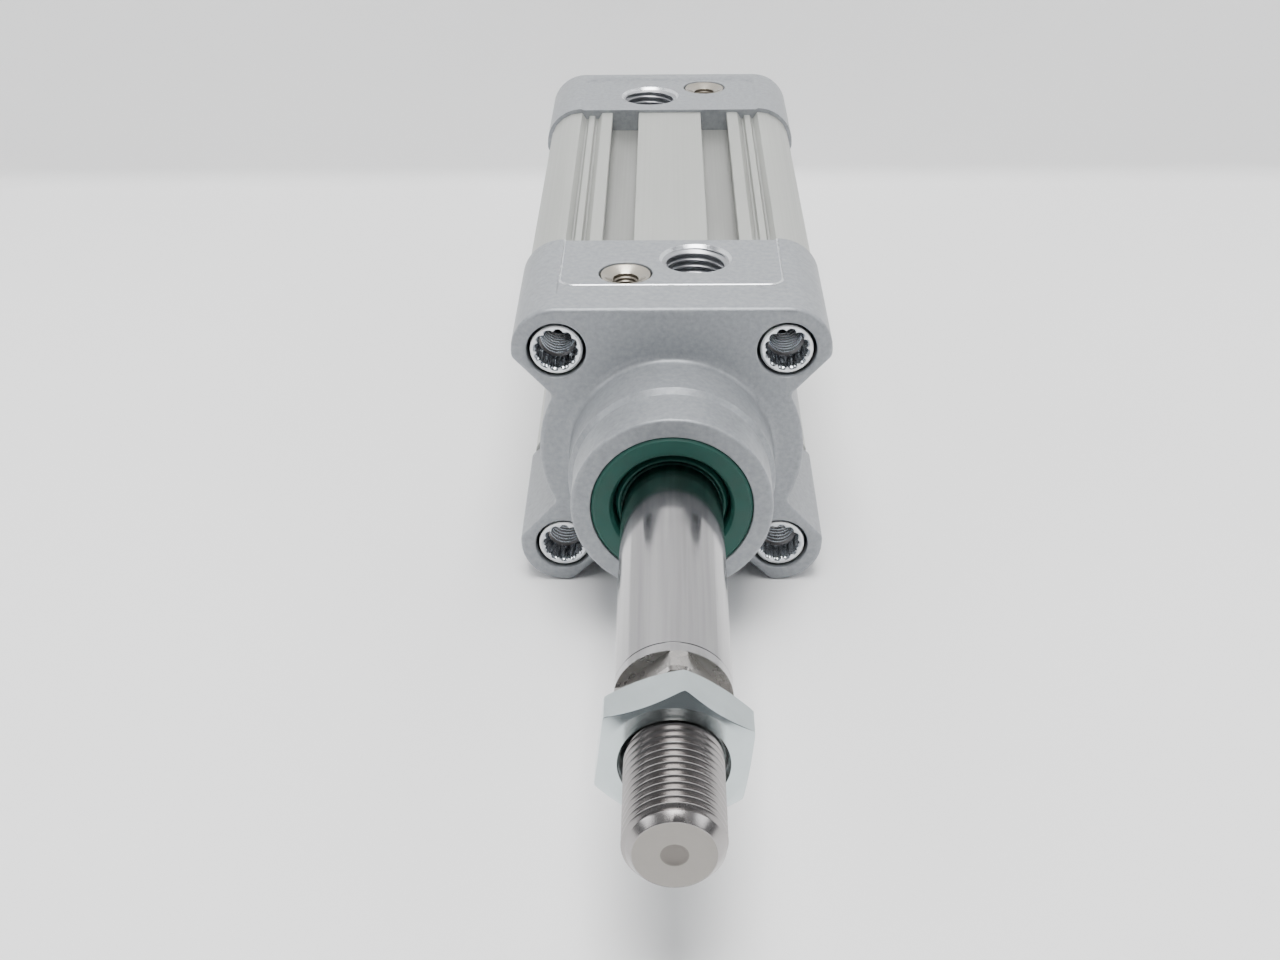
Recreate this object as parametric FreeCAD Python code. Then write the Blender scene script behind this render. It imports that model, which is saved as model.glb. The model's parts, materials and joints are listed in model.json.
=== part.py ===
import FreeCAD, Part
import math
import os

# Pneumatic cylinder, ISO 15552 pattern: bore 50, stroke 50, profile barrel, adjustable cushioning.
# Millimetres. Origin: centre of the front cover's flange face, on the rod's axis.
# +Y runs along the axis towards the rear cover, +Z is the port side, +X is to the right of the rod end.
# The rod is drawn fully extended, towards -Y.

V = FreeCAD.Vector

# ---------- driving dimensions ----------
BORE_R = 25.0               # piston bore, radius
STROKE = 50.0
BODY_LENGTH = 106.0 + STROKE  # flange face to the rear cover's rear face
COVER_HALF = 32.5           # covers are 65 square
BOLT = 23.25                # cover screws sit on a 46.5 square
FRONT_DEPTH = 36.0          # depth of the front cover
REAR_DEPTH = 31.0           # depth of the rear cover
ROD_R = 10.0
ROD_REACH = 37.0 + STROKE   # flange face to the rod's shoulder, extended
THREAD_R = 8.0              # M16x1.5 rod thread, major radius
THREAD_LENGTH = 32.0

RUN = 0.05                  # radial clearance of a running fit
STATIC_GAP = 0.1            # gap between parts that only stand side by side

# ---------- covers ----------
COVER_CORNER_R = COVER_HALF - BOLT   # lobe radius, concentric with the screw
NECK_R = 27.5               # round neck between the lobes
NOTCH_LOBE = 21.7           # height where a notch leaves the lobe's side
NOTCH_NECK_X = 24.35        # where the notch's slanted wall meets the neck
NOTCH_NECK_Z = math.sqrt(NECK_R ** 2 - NOTCH_NECK_X ** 2)
NOTCH_FILLET_R = 2.0
FACE_EDGE = 1.0             # rounded edge of the cover's outer face
PAD_HALF = 23.0             # milled pad round the port
PAD_SINK = 0.3
PAD_START = 12.0            # outer face to the pad, front cover
REAR_PAD_START = 5.3
PAD_CORNER_R = 3.0

PILOT_LENGTH = 6.5          # pilot of each cover inside the barrel
PILOT_R = BORE_R - 0.1
O_RING_R = 1.15             # section radius of the pilot's O-ring
O_RING_GROOVE_DEPTH = 2.4
O_RING_GROOVE_HALF = 1.5
CHAMBER_R = 15.0            # cushion chamber
FRONT_CHAMBER_DEPTH = 26.0  # measured from the barrel's end
REAR_CHAMBER_DEPTH = 23.0
CUSHION_SEAL_R = CHAMBER_R + 2.0    # pocket of the cushion seal
CUSHION_SEAL_INSET = 1.5    # chamber's mouth to that pocket
CUSHION_SEAL_LENGTH = 4.0

COLLAR_LENGTH = 23.0        # collar in front of the flange face
COLLAR_R = 20.0             # centring part of the collar
COLLAR_BASE_R = 21.0
COLLAR_BASE_LENGTH = 11.5
COLLAR_FILLET = 2.0
COLLAR_CHAMFER = 0.8
SEAL_SEAT_R = 16.0          # rod seal's seat in the collar
SEAL_SEAT_END = -14.9
BUSH_SEAT_R = 11.6          # rod bearing's seat
BUSH_START = -14.5
BUSH_END = 6.0
ROD_PASSAGE_R = ROD_R + 0.4
SPIGOT_LENGTH = 4.0         # centring spigot of the rear cover
SPIGOT_CHAMFER = 0.6
SPIGOT_RECESS_R = 15.0      # recess in the spigot, with its floor just outside the rear face
SPIGOT_RECESS_FLOOR = 1.0

# ---------- ports and cushion screws ----------
PORT_X = 5.2
FRONT_PORT_Y = 26.0
REAR_PORT_Y = BODY_LENGTH - 19.0
PORT_R = 6.19               # 14 mm x 1.5 mm thread, minor radius
PORT_DEPTH = 12.0
PORT_CHAMFER_R = 7.55
PORT_DUCT_R = 4.2
CUSHION_X = 9.5
FRONT_CUSHION_Y = 18.5
REAR_CUSHION_Y = BODY_LENGTH - 11.8
CUSHION_HEAD_R = 5.3
CUSHION_POCKET_R = 5.75
CUSHION_POCKET_DEPTH = 5.2
CUSHION_BODY_R = 4.0
CUSHION_TOP_GAP = 0.2       # head below the pad
CUSHION_BODY_END = 18.2     # height of the screw's lower end
CUSHION_SEAT_R = 1.6
CUSHION_HEAD_CHAMFER = 0.5
CUSHION_TIP_Z = CHAMBER_R + 1.5
CUSHION_TIP_R = 0.6
CUSHION_CONE_R = 1.4
CUSHION_SEAL_DROP = 3.0     # under the head to the middle of the body's O-ring
CUSHION_O_RING_R = 0.48
CUSHION_GROOVE_DEPTH = 1.0
CUSHION_GROOVE_HALF = 0.9
SOCKET_R = 2.7
SOCKET_DEPTH = 3.0
CUSHION_UNDER_HEAD = COVER_HALF - PAD_SINK - CUSHION_POCKET_DEPTH + 2 * STATIC_GAP
CUSHION_GROOVE_MID = CUSHION_UNDER_HEAD - CUSHION_SEAL_DROP

# ---------- barrel ----------
BARREL_HALF = 31.5
BARREL_NECK_R = 27.8        # recessed sides
BARREL_NECK_X = 26.2
BARREL_LOBE = 20.0
BARREL_CORNER_R = BARREL_HALF - BOLT
SLOT_IN = 8.15              # sensor slot, inner and outer wall
SLOT_OUT = 14.95
SLOT_DEPTH = 4.8
SLOT_UNDERCUT = 0.7
SLOT_LIP = 1.7
GROOVE_IN = 17.75           # shallow groove with a central bead
GROOVE_OUT = 23.1
GROOVE_DEPTH = 1.7
BEAD_DEPTH = 0.8
BEAD_HALF = 0.7
BEAD_SLOPE = 0.4
GROOVE_SLOPE = 1.1

# ---------- cover screws ----------
SCREW_HEAD_R = 5.45
SCREW_POCKET_R = 6.05
SCREW_HEAD_LENGTH = 20.0
SCREW_SINK = 0.6
SCREW_DRIVE_R = 4.15        # mouth of the 12-point drive
SCREW_DRIVE_DEPTH = 5.2
SCREW_THREAD_R = 3.32       # internal M8, minor radius
SCREW_THREAD_DEPTH = 13.0
SCREW_SHANK_R = 3.0         # M6 shank
SCREW_SHANK_LENGTH = 38.0
SCREW_PASSAGE_R = 3.6       # clearance hole for the shank

# ---------- rod end ----------
FLAT_ACROSS = 16.0          # four wrench flats
FLAT_LENGTH = 4.5
SHOULDER_CHAMFER = 1.0
ROD_TURN_DEG = -5.0         # how the flats and the nut stand at rest
NUT_TURN_DEG = -7.0
NUT_ACROSS = 24.0
NUT_LENGTH = 8.0
NUT_GAP = 4.0               # rod shoulder to the nut's back
NUT_MOUTH_R = 9.0           # countersink of the nut's bore
THREAD_CHAMFER = 2.0
THREAD_FACE_R = 6.8         # flat end of the rod
THREAD_PITCH_R = 7.51       # where the rod's and the nut's threads share their space
THREAD_FREE_GAP = 1.0       # free stretch of the thread ends this far in front of the nut
ROD_MARK_R = 2.15           # centre mark in the rod's end
ROD_MARK_DEPTH = 0.5

# ---------- piston group ----------
PISTON_FRONT = FRONT_DEPTH + PILOT_LENGTH
PISTON_HALF_LENGTH = 13.0
PISTON_MIDDLE = PISTON_FRONT + PISTON_HALF_LENGTH
PISTON_REAR = PISTON_MIDDLE + PISTON_HALF_LENGTH
PISTON_R = 24.5
TENON_R = 6.0
SLEEVE_LENGTH = 20.0
SLEEVE_R = 14.0
SLEEVE_CHAMFER = 1.5
BOLTED_FIT = 0.02           # radial gap of parts clamped on the tenon
TENON_REACH = 1.5           # tenon beyond the piston nut
STATIC_SEAL_R = 0.8
STATIC_SEAL_HALF = 0.9
STATIC_SEAL_GROOVE_R = TENON_R + 1.7
SEAL_LENGTH = 4.0
SEAL_INNER_R = 20.5
SEAL_OUTER_R = BORE_R - RUN
SEAL_INSET = 3.0            # piston face to its lip seal
GUIDE_LENGTH = 8.0
GUIDE_INNER_R = 23.0
MAGNET_LENGTH = 5.0
MAGNET_INNER_R = 15.0
MAGNET_OUTER_R = 20.0
PISTON_NUT_ACROSS = 18.0
PISTON_NUT_LENGTH = 6.0


# ---------- helpers ----------
def along_y(radius, y0, y1, x=0.0, z=0.0):
    return Part.makeCylinder(radius, y1 - y0, V(x, y0, z), V(0, 1, 0))


def along_z(radius, z0, z1, x, y):
    return Part.makeCylinder(radius, z1 - z0, V(x, y, z0), V(0, 0, 1))


def tube(inner, outer, y0, y1):
    return along_y(outer, y0, y1).cut(along_y(inner, y0 - 1, y1 + 1))


def turned(points):
    """Solid of revolution about Y from (radius, y) points."""
    wire = Part.makePolygon([V(r, y, 0) for r, y in points + points[:1]])
    return Part.Face(wire).revolve(V(0, 0, 0), V(0, 1, 0), 360)


def turned_about_z(points, x, y):
    """Solid of revolution about the vertical line through (x, y), from (radius, z) points."""
    wire = Part.makePolygon([V(x + r, y, z) for r, z in points + points[:1]])
    return Part.Face(wire).revolve(V(x, y, 0), V(0, 0, 1), 360)


def ring(centre_r, section_r, y):
    return Part.makeTorus(centre_r, section_r, V(0, y, 0), V(0, 1, 0))


def hexagon(across, y0, y1, turn_deg):
    """Hexagonal prism along Y with one corner up, turned about Y."""
    corner_r = across / 2 / math.cos(math.radians(30))
    corners = []
    for i in range(7):
        a = math.radians(60 * i - turn_deg)
        corners.append(V(corner_r * math.sin(a), y0, corner_r * math.cos(a)))
    return Part.Face(Part.makePolygon(corners)).extrude(V(0, y1 - y0, 0))


def chamfered_ends(across, y0, y1):
    """Double cone that breaks a hex nut's corners at both ends."""
    corner_r = across / 2 / math.cos(math.radians(30))
    face_r = across / 2 * 0.95
    rise = (corner_r - face_r) * math.tan(math.radians(30))
    outer = [(corner_r + 0.01, y0 + rise), (corner_r + 0.01, y1 - rise)]
    return turned([(0, y0), (face_r, y0)] + outer + [(face_r, y1), (0, y1)])


def corners():
    return [(sx * BOLT, sz * BOLT) for sx in (-1, 1) for sz in (-1, 1)]


def fillet_along_y(shape, spots, radius):
    """Round the straight edges that run along Y through the given (x, z) spots."""
    chosen = []
    for edge in shape.Edges:
        a, b = edge.Vertexes[0].Point, edge.Vertexes[-1].Point
        straight = abs(a.x - b.x) < 1e-6 and abs(a.z - b.z) < 1e-6 and abs(a.y - b.y) > 1
        if straight and any(math.hypot(a.x - x, a.z - z) < 0.05 for x, z in spots):
            chosen.append(edge)
    return shape.makeFillet(radius, chosen)


# ---------- outlines ----------
def notch(half, lobe, neck_r, neck_x, y0, y1):
    """Cutter for the notch on the +X side: slanted walls down to a round neck."""
    neck_z = math.sqrt(neck_r ** 2 - neck_x ** 2)
    reach = half + 5
    slope = (half - neck_x) / (lobe - neck_z)
    far = neck_z + (reach - neck_x) / slope
    top = [V(neck_x, y0, neck_z), V(reach, y0, far), V(reach, y0, -far), V(neck_x, y0, -neck_z)]
    edges = [Part.makeLine(top[i], top[i + 1]) for i in range(3)]
    edges.append(Part.Arc(top[3], V(neck_r, y0, 0), top[0]).toShape())
    return Part.Face(Part.Wire(edges)).extrude(V(0, y1 - y0, 0))


def square_block(half, corner_r, y0, y1):
    box = Part.makeBox(2 * half, y1 - y0, 2 * half, V(-half, y0, -half))
    return fillet_along_y(box, [(sx * half, sz * half) for sx in (-1, 1) for sz in (-1, 1)], corner_r)


def turn_about_y(shape, degrees):
    copy = shape.copy()
    copy.rotate(V(0, 0, 0), V(0, 1, 0), degrees)
    return copy


def cover_block(y0, y1, face_y):
    """Cover casting: full flat top, notches on the other three sides, rounded outer face edge."""
    block = square_block(COVER_HALF, COVER_CORNER_R, y0, y1)
    side = notch(COVER_HALF, NOTCH_LOBE, NECK_R, NOTCH_NECK_X, y0 - 1, y1 + 1)
    spots = []
    for degrees in (0, 90, 180):
        block = block.cut(turn_about_y(side, degrees))
        for x, z in ((COVER_HALF, NOTCH_LOBE), (NOTCH_NECK_X, NOTCH_NECK_Z)):
            for sz in (-1, 1):
                p = turn_about_y(Part.Vertex(V(x, 0, sz * z)), degrees).Point
                spots.append((p.x, p.z))
    block = fillet_along_y(block, spots, NOTCH_FILLET_R)
    rim = [e for e in block.Edges if abs(e.BoundBox.YMin - face_y) < 1e-4 and e.BoundBox.YLength < 1e-4]
    return block.makeFillet(FACE_EDGE, rim)


def pad_cut(y_step, y_barrel):
    """Shallow milled pad in the cover's top, open at the barrel, with two rounded corners."""
    y0, y1 = min(y_step, y_barrel), max(y_step, y_barrel)
    box = Part.makeBox(2 * PAD_HALF, y1 - y0, 2, V(-PAD_HALF, y0, COVER_HALF - PAD_SINK))
    upright = []
    for edge in box.Edges:
        a, b = edge.Vertexes[0].Point, edge.Vertexes[-1].Point
        if abs(a.z - b.z) > 1 and abs(a.y - y_step) < 1e-6:
            upright.append(edge)
    return box.makeFillet(PAD_CORNER_R, upright)


# ---------- what both covers share ----------
def port_cut(x, y):
    pad_top = COVER_HALF - PAD_SINK
    floor = pad_top - PORT_DEPTH
    shape = along_z(PORT_R, floor, COVER_HALF + 1, x, y)
    shape = shape.fuse(along_z(PORT_DUCT_R, CHAMBER_R - 5, floor + 0.1, x, y))
    chamfer = PORT_CHAMFER_R - PORT_R
    cone = Part.makeCone(PORT_R, PORT_CHAMFER_R + 1, chamfer + 1, V(x, y, pad_top - chamfer), V(0, 0, 1))
    return shape.fuse(cone)


def cushion_cut(x, y):
    pad_top = COVER_HALF - PAD_SINK
    pocket = along_z(CUSHION_POCKET_R, pad_top - CUSHION_POCKET_DEPTH, COVER_HALF + 1, x, y)
    body = along_z(CUSHION_BODY_R + RUN, CUSHION_BODY_END - STATIC_GAP, pad_top, x, y)
    seat = along_z(CUSHION_SEAT_R, CHAMBER_R - 5, pad_top - 10, x, y)
    return pocket.fuse(body).fuse(seat)


def screw_cut(face_y, inward):
    """Stepped holes for the four cover screws, from the outer face towards the barrel."""
    head_end = SCREW_SINK + SCREW_HEAD_LENGTH
    shapes = []
    for x, z in corners():
        a, b = sorted((face_y - inward, face_y + inward * head_end))
        shapes.append(along_y(SCREW_POCKET_R, a, b, x, z))
        a, b = sorted((face_y, face_y + inward * 60))
        shapes.append(along_y(SCREW_PASSAGE_R, a, b, x, z))
    return shapes[0].multiFuse(shapes[1:])


def cover_screws(face_y, inward):
    """Four long-headed screws: 12-point mouth and a blind M8 thread in the head, M6 shank."""
    solids = []
    top = face_y + inward * SCREW_SINK
    for x, z in corners():
        a, b = sorted((top, top + inward * SCREW_HEAD_LENGTH))
        body = along_y(SCREW_HEAD_R, a, b, x, z)
        end = top + inward * (SCREW_HEAD_LENGTH + SCREW_SHANK_LENGTH)
        a, b = sorted((top + inward * (SCREW_HEAD_LENGTH - 1), end))
        body = body.fuse(along_y(SCREW_SHANK_R - RUN, a, b, x, z))
        a, b = sorted((top - inward, top + inward * SCREW_DRIVE_DEPTH))
        body = body.cut(along_y(SCREW_DRIVE_R, a, b, x, z))
        a, b = sorted((top, top + inward * (SCREW_DRIVE_DEPTH + SCREW_THREAD_DEPTH)))
        solids.append(body.cut(along_y(SCREW_THREAD_R, a, b, x, z)).removeSplitter())
    return Part.makeCompound(solids)


def cushion_screw(x, y):
    """Throttle screw: socketed head, smooth body with a seal groove, conical tip."""
    top = COVER_HALF - PAD_SINK - CUSHION_TOP_GAP
    groove_top = CUSHION_GROOVE_MID + CUSHION_GROOVE_HALF
    groove_low = CUSHION_GROOVE_MID - CUSHION_GROOVE_HALF
    groove = CUSHION_BODY_R - CUSHION_GROOVE_DEPTH
    profile = [(0, top), (CUSHION_HEAD_R - CUSHION_HEAD_CHAMFER, top)]
    profile += [(CUSHION_HEAD_R, top - CUSHION_HEAD_CHAMFER)]
    profile += [(CUSHION_HEAD_R, CUSHION_UNDER_HEAD), (CUSHION_BODY_R, CUSHION_UNDER_HEAD)]
    profile += [(CUSHION_BODY_R, groove_top), (groove, groove_top)]
    profile += [(groove, groove_low), (CUSHION_BODY_R, groove_low)]
    profile += [(CUSHION_BODY_R, CUSHION_BODY_END), (CUSHION_CONE_R, CUSHION_BODY_END)]
    profile += [(CUSHION_TIP_R, CUSHION_TIP_Z), (0, CUSHION_TIP_Z)]
    body = turned_about_z(profile, x, y)
    return body.cut(along_z(SOCKET_R, top - SOCKET_DEPTH, top + 1, x, y))


def cushion_screw_seal(x, y):
    centre_r = CUSHION_BODY_R - CUSHION_O_RING_R
    return Part.makeTorus(centre_r, CUSHION_O_RING_R, V(x, y, CUSHION_GROOVE_MID), V(0, 0, 1))


def pilot(y_barrel, inward):
    """Cover pilot in the barrel bore with its O-ring groove."""
    a, b = sorted((y_barrel - inward, y_barrel + inward * PILOT_LENGTH))
    body = along_y(PILOT_R, a, b)
    mid = y_barrel + inward * PILOT_LENGTH / 2
    a, b = mid - O_RING_GROOVE_HALF, mid + O_RING_GROOVE_HALF
    return body.cut(tube(PILOT_R - O_RING_GROOVE_DEPTH, PILOT_R + 1, a, b))


def chamber_cut(y_barrel, inward, depth):
    """Cushion chamber, with the pocket of the cushion seal near its mouth."""
    mouth = y_barrel + inward * PILOT_LENGTH
    a, b = sorted((mouth + inward, y_barrel - inward * depth))
    shape = along_y(CHAMBER_R, a, b)
    near = mouth - inward * CUSHION_SEAL_INSET
    a, b = sorted((near, near - inward * CUSHION_SEAL_LENGTH))
    return shape.fuse(along_y(CUSHION_SEAL_R, a, b))


def cushion_seal(y_barrel, inward):
    mouth = y_barrel + inward * PILOT_LENGTH
    near = mouth - inward * CUSHION_SEAL_INSET
    a, b = sorted((near, near - inward * CUSHION_SEAL_LENGTH))
    return tube(SLEEVE_R + RUN, CUSHION_SEAL_R - RUN, a + STATIC_GAP, b - STATIC_GAP)


# ---------- pieces ----------
def front_cover():
    y1 = FRONT_DEPTH
    body = cover_block(0, y1, 0).cut(pad_cut(PAD_START, y1 + 1))
    base_end, tip = -COLLAR_BASE_LENGTH, -COLLAR_LENGTH
    foot = [(COLLAR_BASE_R + COLLAR_FILLET, 0), (COLLAR_BASE_R + 0.5, -0.6), (COLLAR_BASE_R, -COLLAR_FILLET)]
    step = [(COLLAR_BASE_R, base_end), (COLLAR_R, base_end - 1), (COLLAR_R, tip + COLLAR_CHAMFER)]
    nose = [(COLLAR_R - COLLAR_CHAMFER, tip), (0, tip)]
    body = body.fuse(turned([(0, 1), (COLLAR_BASE_R + COLLAR_FILLET, 1)] + foot + step + nose))
    body = body.fuse(pilot(y1, 1)).cut(chamber_cut(y1, 1, FRONT_CHAMBER_DEPTH))
    body = body.cut(along_y(SEAL_SEAT_R, tip - 1, SEAL_SEAT_END))
    body = body.cut(along_y(BUSH_SEAT_R, SEAL_SEAT_END - 1, BUSH_END + STATIC_GAP))
    body = body.cut(along_y(ROD_PASSAGE_R, 0, FRONT_DEPTH))
    body = body.cut(port_cut(PORT_X, FRONT_PORT_Y)).cut(cushion_cut(-CUSHION_X, FRONT_CUSHION_Y))
    return body.cut(screw_cut(0, 1)).removeSplitter()


def rear_cover():
    y0 = BODY_LENGTH - REAR_DEPTH
    body = cover_block(y0, BODY_LENGTH, BODY_LENGTH).cut(pad_cut(BODY_LENGTH - REAR_PAD_START, y0 - 1))
    end = BODY_LENGTH + SPIGOT_LENGTH
    spigot = [(0, BODY_LENGTH - 1), (COLLAR_R, BODY_LENGTH - 1), (COLLAR_R, end - SPIGOT_CHAMFER)]
    body = body.fuse(turned(spigot + [(COLLAR_R - SPIGOT_CHAMFER, end), (0, end)]))
    body = body.fuse(pilot(y0, -1)).cut(chamber_cut(y0, -1, REAR_CHAMBER_DEPTH))
    body = body.cut(along_y(SPIGOT_RECESS_R, BODY_LENGTH + SPIGOT_RECESS_FLOOR, end + 1))
    body = body.cut(port_cut(-PORT_X, REAR_PORT_Y)).cut(cushion_cut(CUSHION_X, REAR_CUSHION_Y))
    return body.cut(screw_cut(BODY_LENGTH, -1)).removeSplitter()


def slot_cut(side, y0, y1):
    """Sensor slot in the +Z face: straight lips over a slightly wider channel."""
    x0 = min(side * SLOT_IN, side * SLOT_OUT)
    width = SLOT_OUT - SLOT_IN
    lips = Part.makeBox(width, y1 - y0, SLOT_DEPTH + 1, V(x0, y0, BARREL_HALF - SLOT_DEPTH))
    channel_z = BARREL_HALF - SLOT_DEPTH
    height = SLOT_DEPTH - SLOT_LIP
    channel = Part.makeBox(width + 2 * SLOT_UNDERCUT, y1 - y0, height, V(x0 - SLOT_UNDERCUT, y0, channel_z))
    return lips.fuse(channel)


def groove_cut(side, y0, y1):
    """Shallow groove in the +Z face with a bead along its middle."""
    middle = (GROOVE_IN + GROOVE_OUT) / 2
    top, low, bead = BARREL_HALF, BARREL_HALF - GROOVE_DEPTH, BARREL_HALF - BEAD_DEPTH
    half = [(GROOVE_IN, top + 1), (GROOVE_IN, top), (GROOVE_IN + GROOVE_SLOPE, low)]
    half += [(middle - BEAD_HALF - BEAD_SLOPE, low)]
    half += [(middle - BEAD_HALF, bead), (middle + BEAD_HALF, bead), (middle + BEAD_HALF + BEAD_SLOPE, low)]
    half += [(GROOVE_OUT - GROOVE_SLOPE, low), (GROOVE_OUT, top), (GROOVE_OUT, top + 1)]
    points = [V(side * x, y0, z) for x, z in half + half[:1]]
    return Part.Face(Part.makePolygon(points)).extrude(V(0, y1 - y0, 0))


def barrel_profile():
    y0, y1 = FRONT_DEPTH + STATIC_GAP, BODY_LENGTH - REAR_DEPTH - STATIC_GAP
    body = square_block(BARREL_HALF, BARREL_CORNER_R, y0, y1)
    side = notch(BARREL_HALF, BARREL_LOBE, BARREL_NECK_R, BARREL_NECK_X, y0 - 1, y1 + 1)
    for degrees in (0, 180):
        body = body.cut(turn_about_y(side, degrees))
    lanes = [cut(s, y0 - 1, y1 + 1) for cut in (slot_cut, groove_cut) for s in (-1, 1)]
    for degrees in (0, 180):
        for lane in lanes:
            body = body.cut(turn_about_y(lane, degrees))
    body = body.cut(along_y(BORE_R, y0 - 1, y1 + 1))
    for x, z in corners():
        body = body.cut(along_y(SCREW_SHANK_R, y0 - 1, y1 + 1, x, z))
    return body.removeSplitter()


def rod_wiper_seal():
    """Rod seal: outer shell with a recessed face, and an inner lip on the rod."""
    y0, y1 = -COLLAR_LENGTH - STATIC_GAP, SEAL_SEAT_END - STATIC_GAP
    profile = [(11.7, y0 + 0.3), (12.0, y0), (SEAL_SEAT_R, y0), (SEAL_SEAT_R, y1), (ROD_R + RUN, y1)]
    profile += [(ROD_R + RUN, y0 + 1.6), (10.5, y0 + 1.2), (10.9, y0 + 1.8)]
    profile += [(11.2, y0 + 4.0), (11.7, y0 + 4.0)]
    return turned(profile)


def piston_rod():
    tip, shoulder = -ROD_REACH - THREAD_LENGTH, -ROD_REACH
    tenon_start = PISTON_FRONT - SLEEVE_LENGTH
    tenon_end = PISTON_REAR + SLEEVE_LENGTH + PISTON_NUT_LENGTH + TENON_REACH
    free_end = shoulder - NUT_GAP - NUT_LENGTH - THREAD_FREE_GAP
    profile = [(0, tip), (THREAD_FACE_R, tip), (THREAD_R, tip + THREAD_CHAMFER), (THREAD_R, free_end)]
    profile += [(THREAD_PITCH_R, free_end), (THREAD_PITCH_R, shoulder)]
    profile += [(ROD_R - SHOULDER_CHAMFER, shoulder), (ROD_R, shoulder + SHOULDER_CHAMFER)]
    profile += [(ROD_R, tenon_start)]
    profile += [(TENON_R, tenon_start), (TENON_R, tenon_end), (0, tenon_end)]
    body = turned(profile)
    for i in range(4):
        flat = Part.makeBox(30, FLAT_LENGTH + 5, 10, V(-15, shoulder - 5, FLAT_ACROSS / 2))
        body = body.cut(turn_about_y(flat, 45 + 90 * i - ROD_TURN_DEG))
    return body.cut(along_y(ROD_MARK_R, tip - 1, tip + ROD_MARK_DEPTH)).removeSplitter()


def rod_lock_nut():
    y1 = -ROD_REACH - NUT_GAP
    y0 = y1 - NUT_LENGTH
    body = hexagon(NUT_ACROSS, y0, y1, NUT_TURN_DEG).common(chamfered_ends(NUT_ACROSS, y0, y1))
    bore_r = THREAD_PITCH_R + RUN
    body = body.cut(along_y(bore_r, y0 - 1, y1 + 1))
    for y, towards in ((y0, 1), (y1, -1)):
        cone = Part.makeCone(NUT_MOUTH_R, bore_r, NUT_MOUTH_R - bore_r, V(0, y, 0), V(0, towards, 0))
        body = body.cut(cone)
    return body


def seal_groove(y0, length, floor_r):
    return tube(floor_r, PISTON_R + 1, y0 - RUN, y0 + length + RUN)


def piston_half(face_y, inward):
    """One half of the piston, with its lip seal groove and half of the guide and magnet grooves."""
    a, b = sorted((face_y, PISTON_MIDDLE - inward * STATIC_GAP / 2))
    body = tube(TENON_R + BOLTED_FIT, PISTON_R, a, b)
    start = face_y + inward * SEAL_INSET
    a, b = sorted((start, start + inward * SEAL_LENGTH))
    body = body.cut(seal_groove(a, b - a, SEAL_INNER_R - RUN))
    half = GUIDE_LENGTH / 2
    body = body.cut(seal_groove(PISTON_MIDDLE - half, GUIDE_LENGTH, GUIDE_INNER_R - RUN))
    half = MAGNET_LENGTH / 2
    body = body.cut(tube(MAGNET_INNER_R, MAGNET_OUTER_R, PISTON_MIDDLE - half, PISTON_MIDDLE + half))
    a, b = PISTON_MIDDLE - STATIC_SEAL_HALF, PISTON_MIDDLE + STATIC_SEAL_HALF
    return body.cut(tube(TENON_R - 1, STATIC_SEAL_GROOVE_R, a, b))


def cushion_sleeve(y0, y1, nose_y):
    body = tube(TENON_R + BOLTED_FIT, SLEEVE_R, y0, y1)
    rim = [e for e in body.Edges if abs(e.BoundBox.YMin - nose_y) < 1e-4 and e.BoundBox.YLength < 1e-4
           and e.BoundBox.XLength > 2 * SLEEVE_R - 1]
    return body.makeChamfer(SLEEVE_CHAMFER, rim)


def piston_nut():
    y0 = PISTON_REAR + SLEEVE_LENGTH
    body = hexagon(PISTON_NUT_ACROSS, y0, y0 + PISTON_NUT_LENGTH, 0)
    body = body.common(chamfered_ends(PISTON_NUT_ACROSS, y0, y0 + PISTON_NUT_LENGTH))
    return body.cut(along_y(TENON_R + BOLTED_FIT, y0 - 1, y0 + PISTON_NUT_LENGTH + 1))


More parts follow.
